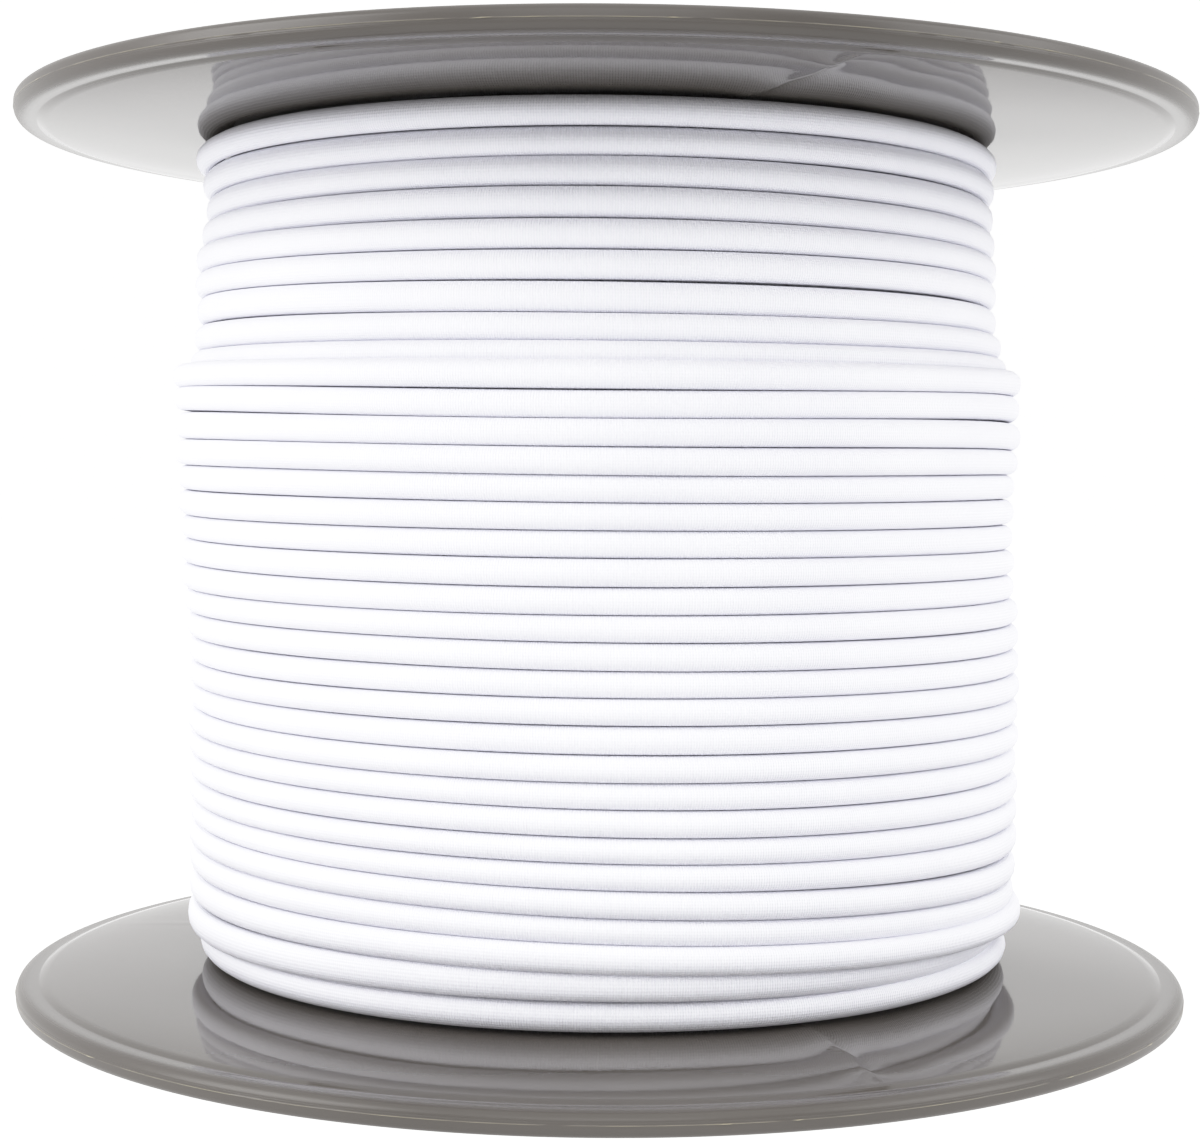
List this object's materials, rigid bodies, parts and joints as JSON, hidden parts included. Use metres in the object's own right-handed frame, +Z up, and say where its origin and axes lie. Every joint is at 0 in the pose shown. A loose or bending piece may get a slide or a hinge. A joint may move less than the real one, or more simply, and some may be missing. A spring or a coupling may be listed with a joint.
{
  "type": "string reel",
  "caption": "Grey plastic reel with two flared flanges on a core tube, wound full of white round elastic cord, with a spindle bore on its axis.",
  "frame": {"origin": "on the reel's axis, at the plane of the lower rim that the reel stands on", "axes": "+Z up along the reel's axis towards the upper flange, -Y towards the front, +X to the right seen from the front"},
  "size_m": [0.2, 0.2, 0.15],
  "materials": {
    "flange_plastic": "glossy moulded warm grey",
    "core_plastic": "satin moulded grey",
    "cord_cover": "satin white textile cover with fine ribs across the cord"
  },
  "bodies": {
    "root": {"upper_flange": "flange_plastic", "lower_flange": "flange_plastic", "core_tube": "core_plastic", "inner_winding": "cord_cover", "upper_turns": "cord_cover", "outer_turns": "cord_cover"}
  },
  "joints": []
}
